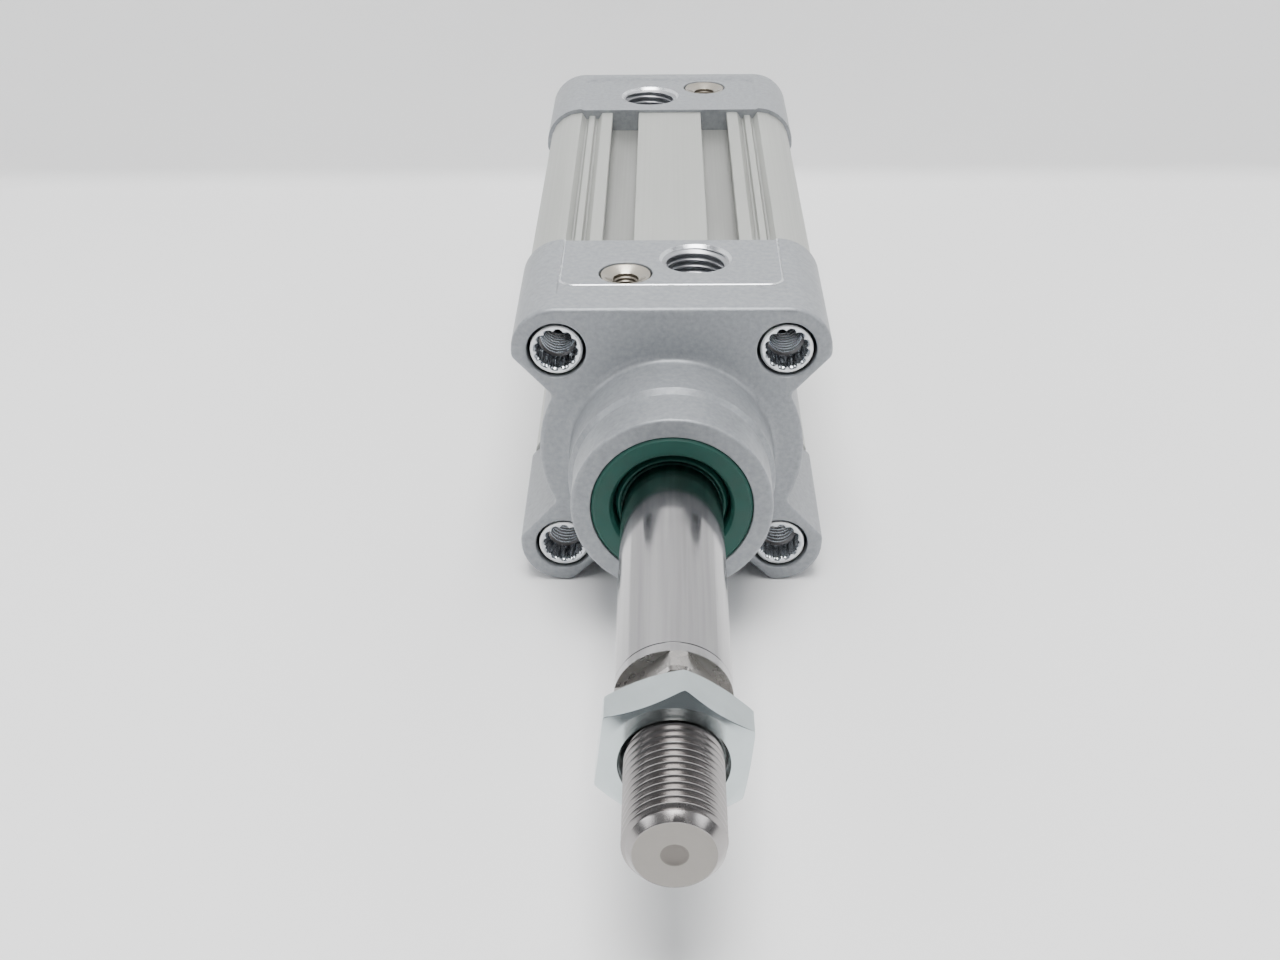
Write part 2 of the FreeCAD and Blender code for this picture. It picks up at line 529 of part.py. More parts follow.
def build():
    front_y, rear_y = FRONT_DEPTH, BODY_LENGTH - REAR_DEPTH
    seal_r = PILOT_R - O_RING_R
    front_seal = PISTON_FRONT + SEAL_INSET
    rear_seal = PISTON_REAR - SEAL_INSET - SEAL_LENGTH
    guide = PISTON_MIDDLE - GUIDE_LENGTH / 2
    magnet = (PISTON_MIDDLE - MAGNET_LENGTH / 2 + RUN, PISTON_MIDDLE + MAGNET_LENGTH / 2 - RUN)
    return {
        "barrel_profile": barrel_profile(),
        "front_cover": front_cover(),
        "rear_cover": rear_cover(),
        "front_cover_screws": cover_screws(0, 1),
        "rear_cover_screws": cover_screws(BODY_LENGTH, -1),
        "rod_wiper_seal": rod_wiper_seal(),
        "rod_bearing_bush": tube(ROD_R + RUN, BUSH_SEAT_R - RUN, BUSH_START, BUSH_END),
        "front_barrel_seal": ring(seal_r, O_RING_R, front_y + PILOT_LENGTH / 2),
        "rear_barrel_seal": ring(seal_r, O_RING_R, rear_y - PILOT_LENGTH / 2),
        "front_cushion_seal": cushion_seal(front_y, 1),
        "rear_cushion_seal": cushion_seal(rear_y, -1),
        "front_cushion_screw": cushion_screw(-CUSHION_X, FRONT_CUSHION_Y),
        "front_cushion_screw_seal": cushion_screw_seal(-CUSHION_X, FRONT_CUSHION_Y),
        "rear_cushion_screw": cushion_screw(CUSHION_X, REAR_CUSHION_Y),
        "rear_cushion_screw_seal": cushion_screw_seal(CUSHION_X, REAR_CUSHION_Y),
        "piston_rod": piston_rod(),
        "rod_lock_nut": rod_lock_nut(),
        "piston_front_half": piston_half(PISTON_FRONT, 1),
        "piston_rear_half": piston_half(PISTON_REAR, -1),
        "magnet_ring": tube(MAGNET_INNER_R + RUN, MAGNET_OUTER_R - RUN, *magnet),
        "piston_static_seal": ring(TENON_R + STATIC_SEAL_R + BOLTED_FIT, STATIC_SEAL_R, PISTON_MIDDLE),
        "piston_seal_front": tube(SEAL_INNER_R, SEAL_OUTER_R, front_seal, front_seal + SEAL_LENGTH),
        "piston_seal_rear": tube(SEAL_INNER_R, SEAL_OUTER_R, rear_seal, rear_seal + SEAL_LENGTH),
        "piston_guide_ring": tube(GUIDE_INNER_R, SEAL_OUTER_R, guide, guide + GUIDE_LENGTH),
        "front_cushion_sleeve": cushion_sleeve(PISTON_FRONT - SLEEVE_LENGTH, PISTON_FRONT,
                                               PISTON_FRONT - SLEEVE_LENGTH),
        "rear_cushion_sleeve": cushion_sleeve(PISTON_REAR, PISTON_REAR + SLEEVE_LENGTH,
                                              PISTON_REAR + SLEEVE_LENGTH),
        "piston_nut": piston_nut(),
    }


os.makedirs("parts", exist_ok=True)
for node, shape in build().items():
    if not shape.isValid():
        print("not valid:", node)
    print(f"{node}: {len(shape.Solids)} solid(s), {shape.Volume / 1000:.2f} cm3")
    shape.exportStep(f"parts/{node}.step")
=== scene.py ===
import json
import math
import random

import bmesh
import bpy
from mathutils import Matrix, Vector


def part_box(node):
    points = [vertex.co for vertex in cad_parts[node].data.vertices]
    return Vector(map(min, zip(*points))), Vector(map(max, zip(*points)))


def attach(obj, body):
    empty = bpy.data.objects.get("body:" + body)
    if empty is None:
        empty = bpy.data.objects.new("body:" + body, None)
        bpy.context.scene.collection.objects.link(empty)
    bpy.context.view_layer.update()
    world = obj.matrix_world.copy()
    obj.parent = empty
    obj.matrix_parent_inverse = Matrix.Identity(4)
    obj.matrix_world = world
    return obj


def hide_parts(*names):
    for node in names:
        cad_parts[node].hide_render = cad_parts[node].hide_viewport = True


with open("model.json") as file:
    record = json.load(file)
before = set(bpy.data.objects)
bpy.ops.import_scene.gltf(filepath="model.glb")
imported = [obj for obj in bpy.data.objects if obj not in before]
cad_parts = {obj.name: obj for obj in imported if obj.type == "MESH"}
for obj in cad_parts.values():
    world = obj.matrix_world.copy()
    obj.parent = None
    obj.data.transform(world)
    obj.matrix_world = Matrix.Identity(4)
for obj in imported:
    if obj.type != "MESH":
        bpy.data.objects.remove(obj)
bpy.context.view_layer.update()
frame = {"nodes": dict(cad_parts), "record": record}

# Shapes are given in millimetres and scaled to metres as each mesh is written.
MM = 0.001


def box_mm(node):
    low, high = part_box(node)
    return low / MM, high / MM


# ---------- places that come from the frame ----------
COVER_LOW, COVER_HIGH = box_mm("front_cover")
REAR_LOW, REAR_HIGH = box_mm("rear_cover")
BARREL_LOW, BARREL_HIGH = box_mm("barrel_profile")
ROD_LOW, ROD_HIGH = box_mm("piston_rod")
NUT_LOW, NUT_HIGH = box_mm("rod_lock_nut")
SEAL_LOW, SEAL_HIGH = box_mm("rod_wiper_seal")
SCREWS_LOW, SCREWS_HIGH = box_mm("front_cover_screws")

PILOT = 6.5                                  # each cover's pilot inside the barrel
STOP_GAP = 0.05                              # keeps the pilots' faces off the piston
SPIGOT = 4.0                                 # centring spigot of the rear cover
COLLAR = -COVER_LOW.y                        # collar in front of the flange face
FRONT_DEPTH = COVER_HIGH.y - PILOT
BODY_LENGTH = REAR_HIGH.y - SPIGOT
REAR_DEPTH = BODY_LENGTH - REAR_LOW.y - PILOT
COVER_HALF = COVER_HIGH.x
BARREL_HALF = BARREL_HIGH.x
SCREW_R = 5.45                               # cover screw's head
BOLT = SCREWS_HIGH.x - SCREW_R               # cover screws sit on a square of twice this
ROD_R = ROD_HIGH.x
FLOOR_Z = COVER_LOW.z

# ---------- sizes of the visible detail ----------
COLLAR_R = 20.0
COLLAR_BASE_R = 21.0
COLLAR_BASE_LENGTH = 11.5
NECK_R = 27.5                                # cover's round neck between its lobes
NOTCH_LOBE = 21.7
NOTCH_NECK_X = 24.35
FACE_EDGE = 1.0
PAD_HALF = 23.0                              # milled pad round the port
PAD_SINK = 0.3
PAD_START = 12.0
REAR_PAD_START = 5.3
POCKET_R = 6.05                              # counterbore of a cover screw
POCKET_DEPTH = 20.6
SCREW_SINK = 0.6
DRIVE_DEPTH = 5.2                            # 12-point drive, in front of the screw's internal thread
SCREW_THREAD_R = 4.0                         # internal M8 thread in the screw's head
SCREW_THREAD_MINOR_R = 3.32
SCREW_THREAD_PITCH = 1.25
SCREW_THREAD_END = 15.0
SCREW_HEAD_LENGTH = 20.0
SCREW_LENGTH = 58.0
PORT_X = 5.2
PORT_MOUTH_R = 7.55
PORT_MAJOR_R = 7.05
PORT_MINOR_R = 6.19
PORT_PITCH = 1.5
FRONT_PORT_INSET = 26.0
REAR_PORT_INSET = 19.0
THROTTLE_X = 9.5
FRONT_THROTTLE_INSET = 18.5
REAR_THROTTLE_INSET = 11.8
THROTTLE_POCKET_R = 5.62
CHAMBER_R = 15.0
ROD_THREAD_R = 8.0
ROD_THREAD_MINOR_R = 7.08
ROD_PITCH = 1.5
ROD_THREAD_LENGTH = 32.0
ROD_FLAT = 8.0                               # half of the width across the wrench flats
ROD_FLAT_LENGTH = 4.5
ROD_TURN = math.radians(5)                   # rod and nut stand slightly turned
NUT_TURN = math.radians(7)

ROUND = 96                                   # points round a turned piece


# ---------- outlines in a plane ----------
def polar(radius, angle):
    """Point at an angle measured from +Z towards +X."""
    return radius * math.sin(angle), radius * math.cos(angle)


def rounded(corners, steps=6):
    """Closed outline from (a, b) or (a, b, radius) corners, with each radius drawn as an arc."""
    points = []
    count = len(corners)
    for i, corner in enumerate(corners):
        here = Vector(corner[:2])
        radius = corner[2] if len(corner) > 2 else 0.0
        if radius == 0.0:
            points.append(here)
            continue
        before = (Vector(corners[i - 1][:2]) - here).normalized()
        after = (Vector(corners[(i + 1) % count][:2]) - here).normalized()
        half = before.angle(after) / 2
        reach = radius / math.tan(half)
        middle = here + (before + after).normalized() * (radius / math.sin(half))
        start, end = here + before * reach - middle, here + after * reach - middle
        first = math.atan2(start.y, start.x)
        sweep = (math.atan2(end.y, end.x) - first + math.pi) % (2 * math.pi) - math.pi
        for k in range(steps + 1):
            a = first + sweep * k / steps
            points.append(middle + Vector((math.cos(a), math.sin(a))) * radius)
    return points


def inset(points, distance):
    """The closed outline moved inwards by a distance, corner by corner."""
    area = sum(a.cross(b) for a, b in zip(points, points[1:] + points[:1]))
    side = distance if area > 0 else -distance
    moved = []
    for i, p in enumerate(points):
        before = (p - points[i - 1]).normalized()
        after = (points[(i + 1) % len(points)] - p).normalized()
        along = (before + after).normalized()
        normal = Vector((-along.y, along.x))
        moved.append(p + normal * side / max(0.3, along.dot(after)))
    return moved


def neck_arc(radius, reach, steps):
    """Points of a neck on the +X side, from reach above the middle to reach below it."""
    return [polar(radius, math.pi / 2 + reach * (2 * k / steps - 1)) for k in range(steps + 1)]


def quarter_turn(corners):
    """The corners turned a quarter clockwise, as seen from the rod end."""
    return [(c[1], -c[0]) + tuple(c[2:]) for c in corners]


def cover_outline():
    """Square with large corners, full flat top, and a notch on each of the other three sides.

    The top's flat stretch runs from the last point to the first."""
    neck_z = math.sqrt(NECK_R ** 2 - NOTCH_NECK_X ** 2)
    notch = [(COVER_HALF, NOTCH_LOBE, 2.0), (NOTCH_NECK_X, neck_z, 2.0)]
    notch += neck_arc(NECK_R, math.radians(23), 16)
    notch += [(NOTCH_NECK_X, -neck_z, 2.0), (COVER_HALF, -NOTCH_LOBE, 2.0)]
    corner = [(COVER_HALF, COVER_HALF, COVER_HALF - BOLT)]
    chain = []
    for _ in range(3):
        chain += corner + notch
        corner, notch = quarter_turn(corner), quarter_turn(notch)
    return rounded(chain + corner, 10)


def barrel_outline():
    """Extruded section: sensor slots and beaded grooves on top and bottom, recessed sides."""
    top = BARREL_HALF
    slot_in, slot_out, slot_floor, lip = 8.15, 14.95, top - 4.8, top - 1.7
    groove_in, groove_out, groove_floor, bead = 17.75, 23.1, top - 1.7, top - 0.8
    middle = (groove_in + groove_out) / 2
    upper = [(slot_in, top, 0.3), (slot_in, lip, 0.2), (slot_in - 0.7, lip, 0.2)]
    upper += [(slot_in - 0.7, slot_floor, 0.3), (slot_out + 0.7, slot_floor, 0.3)]
    upper += [(slot_out + 0.7, lip, 0.2), (slot_out, lip, 0.2), (slot_out, top, 0.3)]
    upper += [(groove_in, top, 0.3), (groove_in + 1.1, groove_floor, 0.3)]
    upper += [(middle - 1.1, groove_floor, 0.2), (middle - 0.7, bead, 0.3)]
    upper += [(middle + 0.7, bead, 0.3), (middle + 1.1, groove_floor, 0.2)]
    upper += [(groove_out - 1.1, groove_floor, 0.3), (groove_out, top, 0.1)]
    corner_r = top - BOLT - 0.2
    side = [(top, top, corner_r), (top, 20.0, 1.5), (26.2, 9.3, 3.0)]
    side += neck_arc(27.8, math.radians(15), 12)
    side += [(26.2, -9.3, 3.0), (top, -20.0, 1.5), (top, -top, corner_r)]
    lower = [(x, -z, r) for x, z, r in reversed(upper)]
    right = upper + side + lower
    left = [(-c[0],) + tuple(c[1:]) for c in reversed(right)]
    return rounded(right + left, 5)


# ---------- shells ----------
class Shell:
    """A closed surface, built loop by loop in millimetres."""

    def __init__(self):
        self.mesh = bmesh.new()

    def loop(self, points):
        return [self.mesh.verts.new(p) for p in points]

    def section(self, outline, y):
        return self.loop([(p[0], y, p[1]) for p in outline])

    def ring(self, radius, y, centre=(0.0, 0.0), angles=None):
        """Ring round an axis along Y. Radius is a number, or a function of the angle."""
        angles = angles or [2 * math.pi * k / ROUND for k in range(ROUND)]
        points = []
        for a in angles:
            x, z = polar(radius(a) if callable(radius) else radius, a)
            points.append((centre[0] + x, y, centre[1] + z))
        return self.loop(points)

    def upright_ring(self, radius, z, centre):
        """Ring round a vertical axis through centre."""
        spots = [polar(radius, 2 * math.pi * k / ROUND) for k in range(ROUND)]
        return self.loop([(centre[0] + x, centre[1] + y, z) for x, y in spots])

    def skin(self, first, second):
        count = len(first)
        for i in range(count):
            j = (i + 1) % count
            self.mesh.faces.new((first[i], first[j], second[j], second[i]))

    def chain(self, loops):
        for first, second in zip(loops, loops[1:]):
            self.skin(first, second)
        return loops

    def fill(self, *loops):
        """Flat face bounded by the first loop, with the other loops as holes."""
        edges = []
        for verts in loops:
            for a, b in zip(verts, verts[1:] + verts[:1]):
                edges.append(self.mesh.edges.get((a, b)) or self.mesh.edges.new((a, b)))
        bmesh.ops.triangle_fill(self.mesh, edges=edges, use_beauty=True, use_dissolve=False)

    def cone(self, verts, tip):
        point = self.mesh.verts.new(tip)
        for a, b in zip(verts, verts[1:] + verts[:1]):
            self.mesh.faces.new((a, b, point))

    def turned(self, profile, centre=(0.0, 0.0), angles=None):
        """Rings for (radius, y) points, skinned in order."""
        return self.chain([self.ring(r, y, centre, angles) for r, y in profile])

    def turned_upright(self, profile, centre):
        return self.chain([self.upright_ring(r, z, centre) for r, z in profile])

    def grid(self, rows):
        """Surface over rows of points."""
        verts = [self.loop(row) for row in rows]
        for low, high in zip(verts, verts[1:]):
            for i in range(len(low) - 1):
                self.mesh.faces.new((low[i], low[i + 1], high[i + 1], high[i]))

    def move(self, matrix):
        bmesh.ops.transform(self.mesh, matrix=matrix, verts=self.mesh.verts)

    def tint(self, index):
        """Gives one of the materials, counted from 0, to the faces made since the last call."""
        for face in self.mesh.faces:
            if not face.tag:
                face.material_index = index
                face.tag = True

    def paint_thread_shade(self, centre, radius, start, index):
        """Gives a darker material, painted shade, to the internal thread's flanks and roots outside a radius,
        beyond start.
        """
        for face in self.mesh.faces:
            spot = face.calc_center_median()
            away = math.hypot(spot.x - centre[0], spot.z - centre[1])
            if spot.y > start and radius < away < radius + 0.8:
                face.material_index = index

    def finish(self, name, body, nodes, slot, materials, sharp=32.0, merge=0.0005):
        """Writes the shell as an object in metres that rides on a body and stands for CAD nodes."""
        bmesh.ops.remove_doubles(self.mesh, verts=self.mesh.verts, dist=merge)
        bmesh.ops.dissolve_degenerate(self.mesh, edges=self.mesh.edges, dist=merge)
        bmesh.ops.recalc_face_normals(self.mesh, faces=self.mesh.faces)
        bmesh.ops.scale(self.mesh, vec=(MM, MM, MM), verts=self.mesh.verts)
        data = bpy.data.meshes.new(name)
        self.mesh.to_mesh(data)
        self.mesh.free()
        data.polygons.foreach_set("use_smooth", [True] * len(data.polygons))
        data.set_sharp_from_angle(angle=math.radians(sharp))
        for material in materials:
            data.materials.append(material)
        piece = bpy.data.objects.new(name, data)
        bpy.context.scene.collection.objects.link(piece)
        normals = piece.modifiers.new("normals", "WEIGHTED_NORMAL")
        normals.keep_sharp = True
        normals.weight = 90
        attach(piece, body)
        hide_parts(*nodes)
        return piece


def soft_corners(points, steps=3):
    """Open profile with (a, b) or (a, b, radius) points, with each radius drawn as an arc."""
    line = []
    for i, corner in enumerate(points):
        if len(corner) == 2 or i in (0, len(points) - 1):
            line.append(Vector(corner[:2]))
            continue
        three = [points[i - 1], corner, points[i + 1]]
        arc = rounded([three[0][:2], corner, three[2][:2]], steps)
        line += arc[1:-1]
    return [tuple(p) for p in line]


# ---------- threads ----------
THREAD_PHASES = [0.0, 0.06, 0.1, 0.18, 0.27, 0.36, 0.42, 0.5, 0.58, 0.64, 0.73, 0.82, 0.9, 0.94]


def thread_radius(phase, crest_r, root_r):
    """Radius of a rounded 60 degree thread. Phase 0 is the crest's middle."""
    away = min(phase, 1 - phase)
    t = min(1.0, max(0.0, (away - 0.07) / 0.36))
    eased = 0.35 * t * t * (3 - 2 * t) + 0.65 * t
    return crest_r + (root_r - crest_r) * eased


def thread_rows(crest_r, root_r, pitch, start, end, limit, angles):
    """Rows of (x, along, z) points of a right-hand thread that is cut off at start and end.

    Limit gives the lowest and the highest radius at a place along the axis."""
    rows = []
    for turn in range(-1, int((end - start) / pitch) + 2):
        for phase in THREAD_PHASES:
            row = []
            for angle in angles + [angles[0] + 2 * math.pi]:
                turned = (angle - angles[0]) / (2 * math.pi)
                along = min(end, max(start, start + (turn + phase + turned) * pitch))
                low, high = limit(along)
                radius = min(high, max(low, thread_radius(phase, crest_r, root_r)))
                x, z = polar(radius, angle)
                row.append((x, along, z))
            rows.append(row)
    return rows


def female_limit(start, end, mouth_r, crest_r, root_r, slope=1.0):
    """Lead-in cone at the start of an internal thread, and a run-out at its end."""
    def limit(along):
        low = max(crest_r, mouth_r - (along - start) * slope)
        high = max(crest_r, min(max(mouth_r, root_r), crest_r + (end - along)))
        return low, high
    return limit


# ---------- materials ----------
def new_material(name):
    material = bpy.data.materials.new(name)
    material.use_nodes = True
    nodes = material.node_tree.nodes
    links = material.node_tree.links
    shader = nodes["Principled BSDF"]
    coords = nodes.new("ShaderNodeTexCoord")
    return material, nodes, links, shader, coords


def noise(nodes, links, vector, scale, detail=3.0, rough=0.5):
    node = nodes.new("ShaderNodeTexNoise")
    node.inputs["Scale"].default_value = scale
    node.inputs["Detail"].default_value = detail
    node.inputs["Roughness"].default_value = rough
    links.new(vector, node.inputs["Vector"])
    return node


def ramp(nodes, links, factor, stops):
    """Colour ramp from (place, colour) stops."""
    node = nodes.new("ShaderNodeValToRGB")
    elements = node.color_ramp.elements
    while len(elements) < len(stops):
        elements.new(0.5)
    for element, (place, colour) in zip(elements, stops):
        element.position = place
        element.color = (*colour, 1.0) if len(colour) == 3 else colour
    links.new(factor, node.inputs["Fac"])
    return node


def grey(value):
    return (value, value, value)


def stretched(nodes, links, coords, scale):
    node = nodes.new("ShaderNodeMapping")
    node.inputs["Scale"].default_value = scale
    links.new(coords.outputs["Object"], node.inputs["Vector"])
    return node.outputs["Vector"]


def bump(nodes, links, shader, height, strength, distance, chained=None):
    node = nodes.new("ShaderNodeBump")
    node.inputs["Strength"].default_value = strength
    node.inputs["Distance"].default_value = distance
    links.new(height, node.inputs["Height"])
    if chained is not None:
        links.new(chained.outputs["Normal"], node.inputs["Normal"])
    links.new(node.outputs["Normal"], shader.inputs["Normal"])
    return node


def cast_paint():
    """Silver-grey paint over a fine cast texture."""
    material, nodes, links, shader, coords = new_material("cast_paint")
    place = coords.outputs["Object"]
    tone = noise(nodes, links, place, 900, 4.0, 0.6)
    cloud = noise(nodes, links, place, 60, 3.0)
    base = ramp(nodes, links, tone.outputs["Fac"], [(0.3, (0.235, 0.25, 0.265)), (0.7, (0.315, 0.33, 0.35))])
    wash = ramp(nodes, links, cloud.outputs["Fac"], [(0.35, grey(0.98)), (0.65, grey(1.0))])
    mix = nodes.new("ShaderNodeMix")
    mix.data_type = "RGBA"
    mix.blend_type = "MULTIPLY"
    mix.inputs["Factor"].default_value = 1.0
    links.new(base.outputs["Color"], mix.inputs["A"])
    links.new(wash.outputs["Color"], mix.inputs["B"])
    links.new(mix.outputs["Result"], shader.inputs["Base Color"])
    rough = ramp(nodes, links, cloud.outputs["Fac"], [(0.3, grey(0.37)), (0.7, grey(0.41))])
    links.new(rough.outputs["Color"], shader.inputs["Roughness"])
    shader.inputs["Metallic"].default_value = 0.3
    grain = noise(nodes, links, place, 2600, 2.0)
    waves = noise(nodes, links, place, 500, 2.0)
    first = bump(nodes, links, shader, waves.outputs["Fac"], 0.06, 0.0002)
    bump(nodes, links, shader, grain.outputs["Fac"], 0.4, 0.00007, first)
    return material


def anodised(name, low, high):
    """Satin anodised extrusion with fine lines along its length, between two colours."""
    material, nodes, links, shader, coords = new_material(name)
    lines = noise(nodes, links, stretched(nodes, links, coords, (2600, 6, 2600)), 1.0, 2.0)
    grain = noise(nodes, links, coords.outputs["Object"], 3000, 2.0)
    cloud = noise(nodes, links, stretched(nodes, links, coords, (90, 12, 90)), 1.0, 3.0)
    base = ramp(nodes, links, cloud.outputs["Fac"], [(0.3, low), (0.7, high)])
    links.new(base.outputs["Color"], shader.inputs["Base Color"])
    rough = ramp(nodes, links, lines.outputs["Fac"], [(0.3, grey(0.36)), (0.7, grey(0.48))])
    links.new(rough.outputs["Color"], shader.inputs["Roughness"])
    shader.inputs["Metallic"].default_value = 0.6
    first = bump(nodes, links, shader, lines.outputs["Fac"], 0.12, 0.00004)
    bump(nodes, links, shader, grain.outputs["Fac"], 0.1, 0.00003, first)
    return material


def metal(name, colour, rough_low, rough_high, turning=0.0, streaks=0.0):
    """Bare or plated metal with fine scratches and, where they are set, lathe marks or long streaks."""
    material, nodes, links, shader, coords = new_material(name)
    place = coords.outputs["Object"]
    cloud = noise(nodes, links, place, 220, 4.0, 0.6)
    if streaks:
        along = noise(nodes, links, stretched(nodes, links, coords, (420, 9, 420)), 1.0, 3.0)
        light = tuple(min(1.0, c * (1 + streaks)) for c in colour)
        worn = tuple(c * (1 - streaks) for c in colour)
        base = ramp(nodes, links, along.outputs["Fac"], [(0.35, worn), (0.65, light)])
    else:
        dark = tuple(c * 0.88 for c in colour)
        base = ramp(nodes, links, cloud.outputs["Fac"], [(0.3, dark), (0.7, colour)])
    links.new(base.outputs["Color"], shader.inputs["Base Color"])
    rough = ramp(nodes, links, cloud.outputs["Fac"], [(0.3, grey(rough_low)), (0.7, grey(rough_high))])
    links.new(rough.outputs["Color"], shader.inputs["Roughness"])
    shader.inputs["Metallic"].default_value = 1.0
    scratch = noise(nodes, links, stretched(nodes, links, coords, (500, 2500, 500)), 1.0, 3.0)
    first = bump(nodes, links, shader, scratch.outputs["Fac"], 0.05 + turning, 0.00003)
    if turning:
        fine = noise(nodes, links, place, 2500, 2.0)
        bump(nodes, links, shader, fine.outputs["Fac"], 0.1, 0.00002, first)
    return material


def moulded(name, colour, rough, depth, coat=0.0):
    """Moulded rubber or plastic with a faint grain."""
    material, nodes, links, shader, coords = new_material(name)
    place = coords.outputs["Object"]
    cloud = noise(nodes, links, place, 260, 3.0)
    dark = tuple(c * 0.8 for c in colour)
    base = ramp(nodes, links, cloud.outputs["Fac"], [(0.3, dark), (0.7, colour)])
    links.new(base.outputs["Color"], shader.inputs["Base Color"])
    tone = ramp(nodes, links, cloud.outputs["Fac"], [(0.3, grey(rough)), (0.7, grey(min(1.0, rough + 0.12)))])
    links.new(tone.outputs["Color"], shader.inputs["Roughness"])
    shader.inputs["Coat Weight"].default_value = coat
    grain = noise(nodes, links, place, 1500, 3.0)
    bump(nodes, links, shader, grain.outputs["Fac"], 0.15, depth)
    return material


# ---------- covers ----------
def face_edge(shell, outline, radius, steps=4):
    """Loops that round the outer face's edge, from the face inwards. The face is at along = 0."""
    loops = []
    for k in range(steps + 1):
        a = math.pi / 2 * k / steps
        loops.append(shell.section(inset(outline, radius * (1 - math.sin(a))), radius * (1 - math.cos(a))))
    return shell.chain(loops)


# From outside to inside: distance in from the pad's edge, drop below the top, and irregularity.
PAD_BURR = [(-0.45, 0.0, 0.0), (-0.38, 0.12, 0.0), (-0.15, 0.12, 0.02), (0.0, 0.01, 0.03), (0.2, 0.03, 0.03)]
PAD_BURR += [(0.3, 0.3, 0.0)]
PAD_STEP = [(-0.3, 0.0, 0.0), (0.3, 0.3, 0.0)]


def finely(points, step):
    """The open line with points added so that no stretch is longer than step, save the first and last."""
    line = [points[0]]
    for a, b in zip(points, points[1:]):
        count = max(1, int((Vector(b) - Vector(a)).length / step))
        line += [tuple(Vector(a).lerp(Vector(b), k / count)) for k in range(1, count + 1)]
    return line


def pad_outline(start, depth, shrink):
    """The pad's open outline in (x, along), from one end at the barrel round to the other."""
    half = PAD_HALF - shrink
    near = start + shrink
    line = [(-half, depth), (-half, near, 3.0 - shrink), (half, near, 3.0 - shrink), (half, depth)]
    return soft_corners(line, 6)


def cover_top(shell, front, back, pad_start, burr, holes):
    """Flat top with its sunk pad, whose holes are given. A burr runs along the pad's edge.

    Burr is the index of its material. Returns the step's end points at the barrel, side by side."""
    top, depth = COVER_HALF, back[0].co.y
    chance = random.Random(11)
    lines = []
    for shrink, drop, wander in PAD_BURR if burr else PAD_STEP:
        points = []
        for x, y in finely(pad_outline(pad_start, depth, shrink), 0.7):
            fade = min(1.0, (depth - y) / 2.0)
            push = chance.uniform(-wander, wander) * fade
            points.append((x, y + push, top - drop - abs(push) * 0.3))
        lines.append(shell.loop(points))
    shell.fill([front[-1], front[0], back[0]] + lines[0][::-1] + [back[-1]])
    shell.fill(lines[-1], *holes)
    shell.tint(0)
    for outer, inner in zip(lines, lines[1:]):
        for i in range(len(outer) - 1):
            shell.mesh.faces.new((outer[i], outer[i + 1], inner[i + 1], inner[i]))
    shell.tint(burr)
    return [line[0] for line in lines] + [line[-1] for line in lines[::-1]]


def port_bore(shell, centre):
    """Threaded port: chamfered mouth, thread, and a narrower duct below."""
    top = COVER_HALF - PAD_SINK
    start, end, lead = 0.6, 11.5, 35
    rings = shell.turned_upright([(PORT_MOUTH_R + 0.15, top), (PORT_MOUTH_R, top - 0.1)], centre)
    chamfer = [rings[-1], shell.upright_ring(PORT_MAJOR_R + 0.05, top - start, centre)]
    shell.chain(chamfer)
    shell.tint(1)
    angles = [2 * math.pi * (k + lead) / ROUND for k in range(ROUND)]
    limit = female_limit(start, end, PORT_MAJOR_R + 0.05, PORT_MINOR_R, PORT_MAJOR_R, 2.0)
    rows = thread_rows(PORT_MINOR_R, PORT_MAJOR_R, PORT_PITCH, start, end, limit, angles)
    shell.grid([[(centre[0] + x, centre[1] + z, top - along) for x, along, z in row] for row in rows])
    below = [(PORT_MINOR_R, top - end), (PORT_MINOR_R, top - end - 0.5), (4.2, top - end - 1.2)]
    shell.fill(shell.turned_upright(below + [(4.2, CHAMBER_R + 1)], centre)[-1])
    return rings[0]


def throttle_pocket(shell, centre):
    top = COVER_HALF - PAD_SINK
    profile = [(THROTTLE_POCKET_R + 0.1, top), (THROTTLE_POCKET_R, top - 0.1), (THROTTLE_POCKET_R, top - 5.2)]
    rings = shell.turned_upright(profile, centre)
    shell.fill(rings[-1])
    return rings[0]


def screw_holes(shell, depth):
    """Stepped screw holes through the cover. Returns their loops in the outer and inner face."""
    outer, inner = [], []
    mouth = soft_corners([(POCKET_R + 1, 0.0), (POCKET_R, 0.0, 0.25), (POCKET_R, POCKET_DEPTH)])
    profile = mouth[1:] + [(3.6, POCKET_DEPTH), (3.6, depth)]
    for x in (-BOLT, BOLT):
        for z in (-BOLT, BOLT):
            rings = shell.turned(profile, (x, z))
            outer.append(rings[0])
            inner.append(rings[-1])
    return outer, inner


def cover(depth, outer_hub, inner_hub, port_inset, throttle_inset, pad_start, burr):
    """Cover casting with its outer face at along = 0 and the barrel at along = depth.

    The hubs are turned profiles: from the outer face inwards, and out to the pilot's root.
    Where they meet they share a ring, or each is closed by a disc."""
    shell = Shell()
    outline = cover_outline()
    edge = face_edge(shell, outline, FACE_EDGE)
    front, back = edge[-1], shell.section(outline, depth)
    for i in range(len(front) - 1):
        shell.mesh.faces.new((front[i], front[i + 1], back[i + 1], back[i]))
    shell.tint(0)
    port = port_bore(shell, (PORT_X, port_inset))
    # the port's thread and duct get a darker alloy than its chamfer: painted shade inside the port
    shell.tint(2)
    pocket = throttle_pocket(shell, (-THROTTLE_X, throttle_inset))
    step = cover_top(shell, front, back, pad_start, burr, [port, pocket])
    outside, inside = shell.turned(outer_hub), shell.turned(inner_hub)
    if outer_hub[-1] != inner_hub[0]:
        shell.fill(outside[-1])
        shell.fill(inside[0])
    outer, inner = screw_holes(shell, depth)
    shell.fill(edge[0], outside[0], *outer)
    shell.fill(back + step, inside[-1], *inner)
    shell.tint(0)
    return shell


